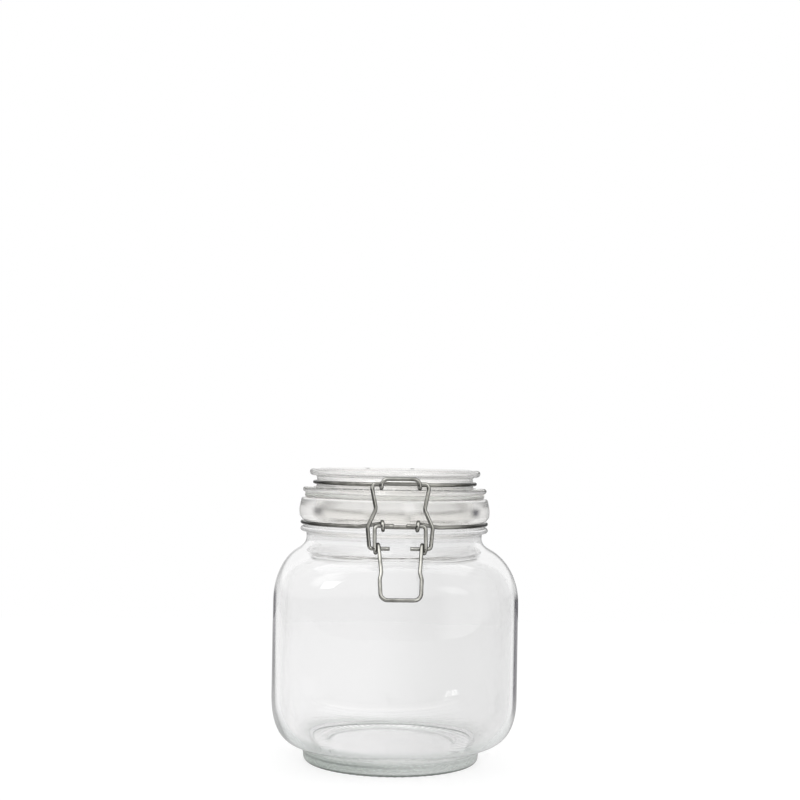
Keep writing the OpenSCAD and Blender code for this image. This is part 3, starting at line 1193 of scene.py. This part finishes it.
@dataclass
class JarGlass:
    """The blown body: round foot, square sides, shoulder, neck with its bead, and collar."""

    corner_r: float = 28.0
    side_bottom: float = 34.5
    side_top: float = 78.0
    wall: float = 2.6
    floor_t: float = 6.0
    foot_r: float = 42.2
    foot_h: float = 7.2
    bearing_r: float = 33.0
    punt: float = 1.5
    neck_r: float = 42.0
    neck_h: float = 19.6
    bead_r: float = 44.9
    collar_r: float = 45.6
    mouth_r: float = 38.4
    lip_r: float = 1.4
    knurl: float = 0.28
    knurl_top: float = 0.3
    knurl_points: int = 4
    uneven_wall: float = 0.30
    uneven_neck: float = 0.08
    uneven_scale: float = 0.022
    uneven_start: Triple = (3.1, 7.7, 1.3)
    count: int = 288

    def __post_init__(self) -> None:
        """Takes the body's half-width and the rim's height from the CAD node."""
        high = corners("jar")[1]
        self.half = high.x
        self.rim = high.z
        self.neck = self.rim - self.neck_h

    def foot(self) -> list[Pair]:
        """Outline of the underside and the foot, from the axis outwards.

        Returns:
            Pairs of a distance from the axis and a height.
        """
        bed = bezier(
            (self.bearing_r - 6, self.punt),
            (self.bearing_r - 2.5, self.punt),
            (self.bearing_r - 1, 0.0),
            (self.bearing_r + 1.8, 0.0),
            8,
        )
        return (
            [(r, self.punt) for r in (4, 12, 20)]
            + bed
            + arc((self.foot_r - 2.6, 2.2), 2.2, -90, -10, 7)
            + arc((self.foot_r - 1.6, self.foot_h - 1.5), 1.6, 0, 66, 6)
            + [(self.foot_r - 0.7, self.foot_h + 0.15), (self.foot_r + 0.1, self.foot_h + 0.3)]
        )

    def sides(self) -> list[Pair]:
        """Outline of the heel, the flat sides and the shoulder, outside.

        Returns:
            Pairs of a half-width and a height.
        """
        rise = self.neck - self.side_top
        heel_h = self.side_bottom - self.foot_h
        heel = bezier(
            (self.foot_r + 0.6, self.foot_h + 0.6),
            (self.half - 5.0, self.foot_h + 0.16 * heel_h),
            (self.half, self.foot_h + 0.43 * heel_h),
            (self.half, self.side_bottom),
            26,
        )
        wall = upright(self.half, self.side_bottom, self.side_top)
        shoulder = bezier(
            (self.half, self.side_top),
            (self.half, self.side_top + 0.5 * rise),
            (self.half - 6.0, self.side_top + 0.75 * rise),
            (self.neck_r + 4, self.neck - 4.4),
            26,
        )
        throat = bezier(
            (self.neck_r + 4, self.neck - 4.4),
            (self.neck_r + 1.7, self.neck - 3.3),
            (self.neck_r + 0.1, self.neck - 1.8),
            (self.neck_r, self.neck + 0.4),
            9,
            1,
        )
        return heel + wall + shoulder + throat

    def finish_part(self) -> list[Pair]:
        """Outline of the neck, the bead, the groove, the collar and the rim, outside.

        Returns:
            Pairs of a distance from the axis and a height.
        """
        bead = self.neck + 3.2
        groove = self.neck + 7.6
        collar = groove + 1.0
        groove_r = self.collar_r - 2.55
        middle = (collar + self.rim) / 2 - 0.9
        return (
            [(self.neck_r, self.neck + 1.4)]
            + arc((self.neck_r + 1.2, bead - 1.1), 1.2, 180, 90, 6)
            + arc((self.bead_r - 1.3, bead + 1.4), 1.3, -70, 60, 9)
            + [(groove_r + 0.1, groove - 1.2), (groove_r, groove - 0.7), (groove_r, collar - 0.3)]
            + arc((self.collar_r - 2.4, collar + 1.5), 1.4, -100, -20, 7)
            + arc((self.collar_r - 12, middle), 12, -12, 16, 9)
            + arc((self.collar_r - 2.2, self.rim - self.lip_r), self.lip_r, 10, 90, 8)
            + [(self.mouth_r + 2.4, self.rim)]
            + arc((self.mouth_r + 1.1, self.rim - 1.1), 1.1, 90, 180, 6)
        )

    def inside(self) -> list[Pair]:
        """Outline of the hollow, from the mouth down to the floor.

        Returns:
            Pairs of a half-width and a height.
        """
        half = self.half - self.wall
        rise = self.neck - self.side_top
        floor = self.punt + self.floor_t
        throat = bezier(
            (self.mouth_r + 4.8, self.neck - 7.2),
            (self.mouth_r + 2.1, self.neck - 5.8),
            (self.mouth_r, self.neck - 4.0),
            (self.mouth_r, self.neck - 0.5),
            9,
        )
        shoulder = bezier(
            (half, self.side_top - 1),
            (half, self.side_top + 0.42 * rise),
            (half - 4.8, self.side_top + 0.63 * rise),
            (self.mouth_r + 4.8, self.neck - 7.2),
            24,
        )
        heel = bezier(
            (self.bearing_r, floor),
            (self.bearing_r + 14, floor + 1.4),
            (half, self.side_bottom - 15.5),
            (half, self.side_bottom),
            26,
        )
        wall = upright(half, self.side_bottom, self.side_top - 1)[::-1]
        neck = [(self.mouth_r, self.rim - d) for d in (5.0, 10.0, 15.0)]
        floor_line = [(r, floor - 0.25 * (1 - (r / self.bearing_r) ** 2)) for r in (26, 18, 10, 4)]
        return neck + throat[::-1] + shoulder[::-1][1:] + wall + heel[::-1] + floor_line

    def uneven(self, p: Vector, depth: float) -> Vector:
        """Moves a point of blown glass in or out along its radius by up to depth.

        Args:
            p: The point.
            depth: Furthest that it can move.

        Returns:
            The moved point.
        """
        rise = noise.noise(p * self.uneven_scale + Vector(self.uneven_start))
        out = Vector((p.x, p.y, 0.0)).normalized()
        return p + out * depth * rise

    def build(self) -> bpy.types.Object:
        """Builds the glass as one closed wall with an outside and an inside.

        Returns:
            The jar, with a knurled ring where it stands.
        """
        outer = Squared(self.neck_r, self.half, self.corner_r)
        inner = Squared(self.mouth_r, self.half - self.wall, self.corner_r - self.wall)
        rings = []
        for r, z in self.foot():
            ring = section(r, z, 0.0, self.count)
            if z < self.knurl_top:
                for i, p in enumerate(ring):
                    tooth = math.cos(2 * math.pi * i / self.knurl_points)
                    p.z += self.knurl * (0.5 - 0.5 * tooth)
            rings.append(ring)
        for r, z in self.sides():
            rings.append(section(r, z, outer.flat(r), self.count))
        for r, z in self.finish_part():
            rings.append(section(r, z, 0.0, self.count))
        outside = len(rings)
        hollow_top = self.neck - 0.5
        for r, z in self.inside():
            flat = inner.flat(r) if z < hollow_top else 0.0
            ring = section(r, z, flat, self.count)
            depth = self.uneven_wall if r > self.mouth_r + 1 else self.uneven_neck
            rings.append([self.uneven(p, depth) for p in ring])
        made = shell("jar_blown_glass", rings)
        mark_outer_skin(made, outside * self.count)
        return made

    def dress(self) -> bpy.types.Object:
        """Replaces the CAD jar with the finished glass."""
        finish = ClearGlass("jar_glass_clear").material()
        return place_piece(self.build(), finish, Body.JAR, "jar")


@dataclass
class LidGlass:
    """The pressed lid: a dished top disc, a waist, a lower flange and a hollow plug."""

    flange_t: float = 2.6
    waist_r: float = 37.4
    top_t: float = 3.4
    top_in: float = 3.1
    plug_r: float = 36.4
    roof_t: float = 4.6
    hollow_r: float = 31.5
    dish: float = 0.7
    count: int = 240

    def __post_init__(self) -> None:
        """Takes the heights from the CAD nodes."""
        low, high = corners("lid")
        self.top = high.z
        self.bottom = low.z
        self.flange_z = corners("seal")[1].z
        self.flange_r = high.x
        self.top_r = self.flange_r - self.top_in

    def outline(self) -> list[Pair]:
        """Outline from the middle of the hollow, round the lid, to the middle of its top.

        Returns:
            Pairs of a distance from the axis and a height.
        """
        rim = self.flange_t / 2
        disc = self.top_t / 2
        waist_low = self.flange_z + self.flange_t
        disc_low = self.top - self.top_t
        roof = self.top - self.roof_t
        return (
            [(r, roof) for r in (6, 16, 24)]
            + arc((self.hollow_r - 3.4, roof - 2.2), 2.2, 90, 8, 6)
            + [(self.hollow_r - 0.3, self.bottom + 1.0)]
            + arc((self.hollow_r + 0.9, self.bottom + 0.9), 0.9, 180, 270, 4)
            + arc((self.plug_r - 1.6, self.bottom + 0.8), 0.8, 270, 350, 4)
            + [(self.plug_r - 0.1, self.flange_z - 0.5)]
            + [(self.plug_r + 0.3, self.flange_z), (self.flange_r - 2.5, self.flange_z)]
            + arc((self.flange_r - rim, self.flange_z + rim), rim, -90, 90, 14)
            + arc((self.waist_r + 1.0, waist_low + 1.0), 1.0, 270, 180, 6)
            + arc((self.waist_r + 1.0, disc_low - 1.0), 1.0, 180, 90, 6)
            + arc((self.top_r - disc, self.top - disc), disc, -90, 90, 14)
            + bezier(
                (self.top_r - 3.4, self.top),
                (self.top_r - 4.4, self.top),
                (self.top_r - 5.0, self.top - self.dish),
                (self.top_r - 6.4, self.top - self.dish),
                6,
            )
            + [(r, self.top - self.dish) for r in (26, 16, 6)]
        )

    def dress(self) -> bpy.types.Object:
        """Replaces the CAD lid with the finished glass.

        Returns:
            The lid.
        """
        rings = [section(r, z, 0.0, self.count) for r, z in self.outline()]
        made = shell("lid_pressed_glass", rings)
        finish = ClearGlass("lid_glass_clear", wave=0.05).material()
        return place_piece(made, finish, Body.LID, "lid")


@dataclass
class SealRing:
    """The rubber ring, with a round outer edge that the clamp squeezes out a little."""

    edge: float = 0.8
    inner_in: float = 7.4
    rib_in: float = 2.4
    count: int = 180

    def dress(self) -> bpy.types.Object:
        """Replaces the CAD seal with the finished ring.

        Returns:
            The ring.
        """
        low, high = corners("seal")
        thick = high.z - low.z
        outer = high.x
        inner = corners("lid")[1].x - self.inner_in
        rib = outer - self.rib_in
        line = (
            arc((inner + self.edge, low.z + self.edge), self.edge, 180, 270, 4)
            + [(rib, low.z)]
            + arc((outer - thick / 2, low.z + thick / 2), thick / 2, -90, 90, 12)
            + [(rib, high.z)]
            + arc((inner + self.edge, high.z - self.edge), self.edge, 90, 180, 4)
        )
        points = [p for r, z in line for p in section(r, z, 0.0, self.count)]
        made = mesh_object("seal_ring", points, quads(len(line), self.count, True))
        return place_piece(made, SealRubber().material(), Body.LID, "seal")


@dataclass
class WirePiece:
    """What the four wires have in common."""

    clamp: Clamp
    steel: bpy.types.Material

    def finish(self, made: bpy.types.Object, body: Body, node: str) -> bpy.types.Object:
        """Gives a swept wire its steel, its body and the CAD node it stands for."""
        return place_piece(made, self.steel, body, node)

    def limits(self, node: str) -> tuple[Vector, Vector]:
        """Lowest and highest corner that the middle line of a CAD node's wire can reach.

        Args:
            node: The CAD node.

        Returns:
            The two corners.
        """
        inset = self.clamp.wire_r + INSET
        low, high = corners(node)
        return low + Vector((inset,) * 3), high - Vector((inset,) * 3)


@dataclass
class LidHoop(WirePiece):
    """Wire in the lid's waist, bent out into the catch at the front and the hinge at the back."""

    catch_half: float = 8.6
    catch_drop: float = 4.15
    catch_reach: float = 3.75
    catch_bends: tuple[float, ...] = (2.4, 3.0, 1.1, 2.9)
    hinge_half: float = 11.4
    hinge_bends: tuple[float, ...] = (1.6, 1.6, 2.4)
    stub_half: float = 3.8
    run: float = 2.2

    def dress(self) -> bpy.types.Object:
        """Bends the wire as one length, from one hinge end round to the other.

        Returns:
            The wire.
        """
        low, high = self.limits("lid_hoop")
        ring_r, ring_z = high.x, self.ring_height()
        hinge = self.clamp.hinge
        back = 90 + self.end_angle(self.hinge_half, ring_r)
        front = 270 - self.end_angle(self.catch_half, ring_r)
        start = self.on_ring(ring_r, ring_z, back)
        stop = self.on_ring(ring_r, ring_z, front)
        leg_z = high.z - self.catch_drop
        hinge_route = [
            Vector((-self.stub_half, hinge.y, hinge.z)),
            Vector((-self.hinge_half, hinge.y, hinge.z)),
            Vector((-self.hinge_half, hinge.y, ring_z - 0.3)),
            start + self.off_ring(back, 1),
            start,
        ]
        catch_route = [
            stop,
            stop + self.off_ring(front, -1),
            Vector((-self.catch_half, low.y + self.catch_reach, leg_z)),
            Vector((-self.catch_half, low.y, leg_z)),
            Vector((-self.catch_half, low.y, high.z)),
            Vector((0, low.y, high.z)),
        ]
        path = WirePath().bent(hinge_route, self.hinge_bends)
        path.ring_part(ring_r, ring_z, back, front, 70)
        path.bent(catch_route, self.catch_bends)
        made = path.then_mirrored().swept("lid_hoop_wire", self.clamp.wire_r)
        return self.finish(made, Body.LID, "lid_hoop")

    def ring_height(self) -> float:
        """Height of the ring, a little below the middle of the lid's waist."""
        lid = LidGlass()
        return (lid.flange_z + lid.flange_t + lid.top - lid.top_t) / 2 - 0.5

    def end_angle(self, half: float, radius: float) -> float:
        """Angle from the middle plane at which the ring ends.

        Args:
            half: How far from that plane the leg stands.
            radius: Radius of the ring.

        Returns:
            The angle in degrees, from which a run along the tangent leads to the leg.
        """
        reach = math.hypot(radius, self.run)
        return math.degrees(math.asin(half / reach) + math.atan(self.run / radius))

    def on_ring(self, radius: float, z: float, angle: float) -> Vector:
        """Point of the ring at an angle in degrees from +X."""
        a = math.radians(angle)
        return Vector((radius * math.cos(a), radius * math.sin(a), z))

    def off_ring(self, angle: float, side: int) -> Vector:
        """Way from the ring's end to the corner beside it, along the tangent.

        Args:
            angle: Angle of the ring's end, in degrees from +X.
            side: 1 for the hinge's end and -1 for the catch's.

        Returns:
            The way.
        """
        a = math.radians(angle)
        return Vector((math.sin(a), -math.cos(a), 0.0)) * side * self.run


@dataclass
class NeckHoop(WirePiece):
    """Closed wire under the collar with two eyes at the front and two at the back."""

    eye_half: float = 7.8
    eye_out: float = 0.35
    pitch: float = 0.6
    leave: float = 24.0
    seat: float = 25.0
    coil_stop: float = 313.0
    ring_drop: float = 0.9

    def quarter(self, ring_r: float, ring_z: float) -> list[Vector]:
        """Middle line from the left side of the ring to the middle of the front bar.

        Args:
            ring_r: Radius of the ring.
            ring_z: Height of the ring.

        Returns:
            The points of the front left quarter.
        """
        path = WirePath()
        path.ring_part(ring_r, ring_z, 180, 270 - self.leave, 36)
        pivot, eye_r = self.clamp.lever, self.clamp.eye_r
        eye = Vector((-self.eye_half - self.eye_out, pivot.y, pivot.z))
        away = math.radians(self.leave)
        end = Vector((-ring_r * math.sin(away), -ring_r * math.cos(away), ring_z))
        entry = on_coil(eye, eye_r, self.seat + 8)
        along = (end - entry).normalized()
        path.points += [entry + along * 1.6, entry + along * 0.5]
        path.coil(eye, eye_r, self.seat + 30, self.coil_stop, self.pitch, 22)
        leaving = on_coil(eye + Vector((0.9, 0, 0)), eye_r, -self.seat + 4)
        bar_z = leaving.z + 0.05
        path.points += [
            leaving,
            Vector((leaving.x + 1.0, leaving.y, bar_z)),
            Vector((0.0, leaving.y, bar_z)),
        ]
        return path.points

    def dress(self) -> bpy.types.Object:
        """Bends the wire as one closed length with four eyes.

        Returns:
            The wire.
        """
        wire_r = self.clamp.wire_r
        ring_r = corners("neck_hoop")[1].x - wire_r
        quarter = self.quarter(ring_r, self.clamp.lever.z - self.ring_drop)
        front = quarter + [flipped(p) for p in reversed(quarter)]
        path = WirePath()
        path.points = front + [Vector((-p.x, -p.y, p.z)) for p in front]
        made = path.swept("neck_hoop_wire", wire_r, closed=True)
        return self.finish(made, Body.JAR, "neck_hoop")


@dataclass
class Bail(WirePiece):
    """Hourglass loop that hooks into the catch and turns on the lever's coils."""

    stub_half: float = 4.6
    foot: float = 13.7
    wide: float = 14.6
    wide_up: float = 9.4
    waist: float = 10.9
    waist_down: float = 11.4
    top: float = 12.4
    top_flare: float = 0.3
    top_down: float = 2.6
    bends: tuple[float, ...] = (1.5, 3.6, 3.4, 2.5, 1.6)

    def dress(self) -> bpy.types.Object:
        """Bends the loop from one stub over the top bar to the other.

        Returns:
            The wire.
        """
        coil = self.clamp.coil
        bar = self.limits("bail")[1]
        lean = (bar.y - coil.y) / (bar.z - coil.z)

        def at(x: float, z: float) -> Vector:
            """Point of the loop's plane."""
            return Vector((x, coil.y + lean * (z - coil.z), z))

        left = [
            at(-self.stub_half, coil.z),
            at(-self.foot, coil.z),
            at(-self.wide, coil.z + self.wide_up),
            at(-self.waist, bar.z - self.waist_down),
            at(-self.top - self.top_flare, bar.z - self.top_down),
            at(-self.top, bar.z),
        ]
        route = left + [flipped(p) for p in reversed(left)]
        path = WirePath().bent(route, self.bends + self.bends[::-1])
        return self.finish(path.swept("bail_wire", self.clamp.wire_r), Body.BAIL, "bail")


@dataclass
class Lever(WirePiece):
    """Lever with a stub in each eye of the neck hoop, two coils, and a finger loop."""

    half: float = 11.4
    half_play: float = 0.02
    stub_half: float = 2.8
    loop_half: float = 9.0
    coil_gap: float = 0.06
    stub_bends: tuple[float, ...] = (1.6,)
    loop_bends: tuple[float, ...] = (5.0, 2.0, 3.2)

    def dress(self) -> bpy.types.Object:
        """Bends the lever as one length, from one stub to the other.

        Returns:
            The wire.
        """
        low = self.limits("lever")[0]
        pivot, coil, eye_r = self.clamp.lever, self.clamp.coil, self.clamp.eye_r
        shoulder = Vector((-self.half, pivot.y, pivot.z))
        outer = Vector((-self.half - self.half_play, coil.y, coil.z))
        shift = self.clamp.wire_d + self.coil_gap
        inner = outer + Vector((shift, 0, 0))
        kink = Vector((-self.loop_half, low.y + 3.4, low.z + 9.4))
        down = touch_angle(shoulder - outer, eye_r, 1)
        away = touch_angle(kink - inner, eye_r, -1) + 720
        away = away - 360 if away - down > 500 else away
        stub = Vector((-self.stub_half, pivot.y, pivot.z))
        loop = [
            on_coil(inner, eye_r, away),
            Vector((-self.loop_half + 0.45, low.y + 4.9, low.z + 11.6)),
            kink + Vector((-0.25, 0.2, -0.6)),
            Vector((-self.loop_half + 0.2, low.y, low.z)),
            Vector((0, low.y, low.z)),
        ]
        path = WirePath().bent([stub, shoulder, on_coil(outer, eye_r, down)], self.stub_bends)
        path.coil(outer, eye_r, down, away, shift, 40)
        path.bent(loop, self.loop_bends)
        made = path.then_mirrored().swept("lever_wire", self.clamp.wire_r)
        return self.finish(made, Body.LEVER, "lever")


# ---------------------------------------------------------------------------------------------
# Studio


@dataclass(frozen=True)
class SoftBox:
    """A round soft box as reflections see it, with its place and its radii in degrees.

    It is full inside the inner radius and gone outside the outer one.
    """

    azimuth: float
    height: float
    inner: float
    outer: float
    power: float

    def seen(self, way: Signal) -> Signal:
        """Its light in the direction of a ray.

        Args:
            way: Direction of the ray.

        Returns:
            The light.
        """
        a, h = math.radians(self.azimuth), math.radians(self.height)
        middle = (math.sin(a) * math.cos(h), -math.cos(a) * math.cos(h), math.sin(h))
        near = sum((way.axis(i) * middle[i] for i in (1, 2)), way.axis(0) * middle[0])
        ends = (math.cos(math.radians(r)) for r in (self.outer, self.inner))
        return near.ramp(*ends) * self.power


@dataclass(frozen=True)
class Room:
    """The room that metal and glass reflect. Directions are parts of a unit vector.

    A wall of panels stands on the right, dimmer towards its far side, and a pale wall at the back.
    """

    floor: float = 0.03
    skyline: Pair = (0.16, 0.0)
    skyline_height: Pair = (0.0, 0.10)
    panels: Pair = (1.4, 0.6)
    panel_dimming: Pair = (0.5, 0.8)
    panel_side: Pair = (0.08, 0.2)
    panel_depth: Pair = (-0.3, 0.1)
    back: float = 0.95
    back_height: Pair = (0.08, 0.26)
    back_depth: Pair = (0.97, 1.0)
    ceiling: float = 0.25
    ceiling_height: Pair = (0.45, 0.9)
    boxes: tuple[SoftBox, ...] = (
        SoftBox(15.0, 22.0, 3.0, 9.0, 1.6),
        SoftBox(-36.0, 48.0, 3.0, 18.0, 2.2),
    )

    def seen(self, way: Signal) -> Signal:
        """Its light in the direction of a ray.

        Args:
            way: Direction of the ray.

        Returns:
            The light.
        """
        side, depth, height = (way.axis(i) for i in range(3))
        panels = side.ramp(*self.panel_dimming, *self.panels)
        panels = panels * side.ramp(*self.panel_side) * depth.fade(*self.panel_depth)
        back = height.ramp(*self.back_height).at_least(depth.ramp(*self.back_depth))
        light = self.floor + height.ramp(*self.skyline_height, *self.skyline)
        light = light + panels.at_least(self.back * back)
        light = light + self.ceiling * height.ramp(*self.ceiling_height)
        return sum((box.seen(way) for box in self.boxes), light)


@dataclass(frozen=True)
class Lamp:
    """A soft rectangular lamp that faces the jar: its place and its size in metres, its watts."""

    name: str
    at: Triple
    size: Pair
    watts: float
    aim: Triple = (0.0, 0.0, 0.07)

    def hang(self) -> None:
        """Hangs the lamp, out of sight of reflections."""
        data = bpy.data.lights.new(self.name, "AREA")
        data.shape = "RECTANGLE"
        data.size, data.size_y = self.size
        data.energy = self.watts
        made = bpy.data.objects.new(self.name, data)
        bpy.context.scene.collection.objects.link(made)
        made.location = Vector(self.at)
        towards = Vector(self.aim) - made.location
        made.rotation_euler = towards.to_track_quat("-Z", "Y").to_euler()
        made.visible_glossy = False


@dataclass
class Studio:
    """White sweep, soft lamps, a world that glass and metal see, and the camera.

    Lengths are in metres, angles in degrees, and the lens and its sensor in millimetres.
    """

    distance: float = 0.696
    eye_height: float = 0.1492
    aim_x: float = 0.0022
    azimuth: float = -3.4
    roll: float = 0.95
    lens: float = 65.25
    sensor: float = 36.0
    rise: float = 0.06
    reach: float = 0.55
    through: float = 1.06
    soft: float = 0.70
    room: Room = Room()
    lamps: tuple[Lamp, ...] = (
        Lamp("key", (-0.45, -0.95, 1.0), (0.35, 0.45), 2.6),
        Lamp("fill", (0.95, -0.6, 0.55), (1.1, 1.1), 1.4),
        Lamp("top", (0.0, 0.15, 1.15), (0.9, 0.9), 3.0),
    )

    def camera(self) -> None:
        """Places a level camera in front of the jar, turned a little round its own axis."""
        data = bpy.data.cameras.new("front")
        data.lens = self.lens
        data.sensor_width = self.sensor
        data.shift_y = self.rise
        data.clip_start, data.clip_end = 0.01, 30.0
        made = bpy.data.objects.new("front", data)
        bpy.context.scene.collection.objects.link(made)
        a = math.radians(self.azimuth)
        away = Vector((math.sin(a), -math.cos(a), 0.0))
        made.location = Vector((self.aim_x, 0.0, self.eye_height)) + away * self.distance
        level = (-away).to_track_quat("-Z", "Y").to_matrix()
        turned = level @ Matrix.Rotation(math.radians(self.roll), 3, "Z")
        made.rotation_euler = turned.to_euler()
        bpy.context.scene.camera = made

    def floor(self) -> None:
        """Lays a wide white floor under the jar."""
        half = self.reach / MM
        ways = ((-1, -1), (1, -1), (1, 1), (-1, 1))
        points = [Vector((x * half, y * half, 0.0)) for x, y in ways]
        made = mesh_object("studio_floor", points, [(0, 1, 2, 3)])
        made.data.materials.append(StudioWhite().material())

    def world(self) -> None:
        """Surrounds the set with a room that is white to the eye and darker in reflections."""
        made = bpy.data.worlds.new("studio")
        bpy.context.scene.world = made
        tree = NodeTree(made)
        room = self.room.seen(tree.output_of("ShaderNodeTexCoord", "Generated"))
        seen, sent = tree.ray("Is Camera Ray"), tree.sent()
        shiny = tree.ray("Is Glossy Ray") * (1.0 - sent)
        soft = (1.0 - seen) * (1.0 - sent) * (1.0 - shiny)
        level = seen + sent * self.through + shiny * room + soft * self.soft
        white = {"Color": (1.0, 1.0, 1.0, 1.0), "Strength": level}
        light = tree.add("ShaderNodeBackground", {}, white)
        tree.show(Signal(tree, light.outputs[0]), "ShaderNodeOutputWorld")

    def dress(self) -> None:
        """Sets up everything round the jar."""
        bpy.context.scene.view_settings.view_transform = "Standard"
        self.camera()
        self.floor()
        self.world()
        for lamp in self.lamps:
            lamp.hang()
        LOG.info("studio: camera %.3f m from the axis", self.distance)


def main() -> None:
    """Builds the jar piece by piece and then the studio."""
    logging.basicConfig(level=logging.INFO, format="%(name)s: %(message)s")
    clamp, steel = Clamp.from_frame(), DrawnSteel().material()
    wires = [kind(clamp, steel) for kind in (LidHoop, NeckHoop, Bail, Lever)]
    for piece in (JarGlass(), LidGlass(), SealRing(), *wires):
        made = piece.dress()
        LOG.info("%s: %d vertices", made.name, len(made.data.vertices))
    Studio().dress()


if __name__ == "__main__":
    main()
